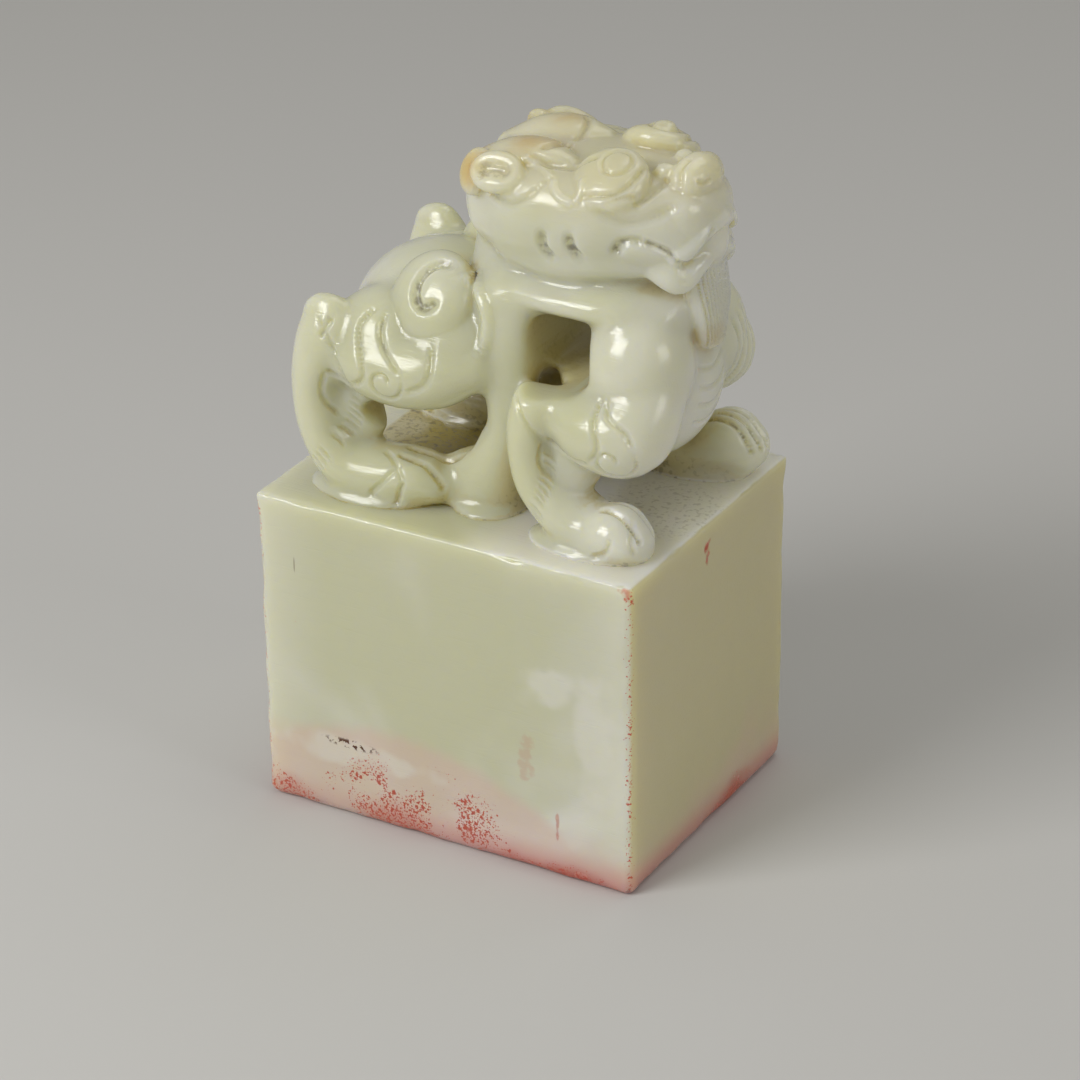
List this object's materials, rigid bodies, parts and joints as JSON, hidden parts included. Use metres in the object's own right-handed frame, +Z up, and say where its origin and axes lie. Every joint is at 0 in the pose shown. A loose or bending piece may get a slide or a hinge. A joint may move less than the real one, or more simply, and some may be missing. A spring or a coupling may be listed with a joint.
{
  "type": "seal stamp",
  "caption": "Rectangular jade seal block whose knob is a crouching mythical beast with openings pierced through it, block and beast carved from a single stone.",
  "frame": {"origin": "middle of the printing face, at the underside of the block", "axes": "+Z up through the beast, +X the way the beast looks, along the block's longer side"},
  "size_m": [0.0384, 0.0286, 0.0636],
  "materials": {
    "jade": "polished pale celadon jade, cloudy, with dirt in the cuts and red paste on the lower edges"
  },
  "bodies": {
    "root": {"jade_seal": "jade"}
  },
  "joints": []
}
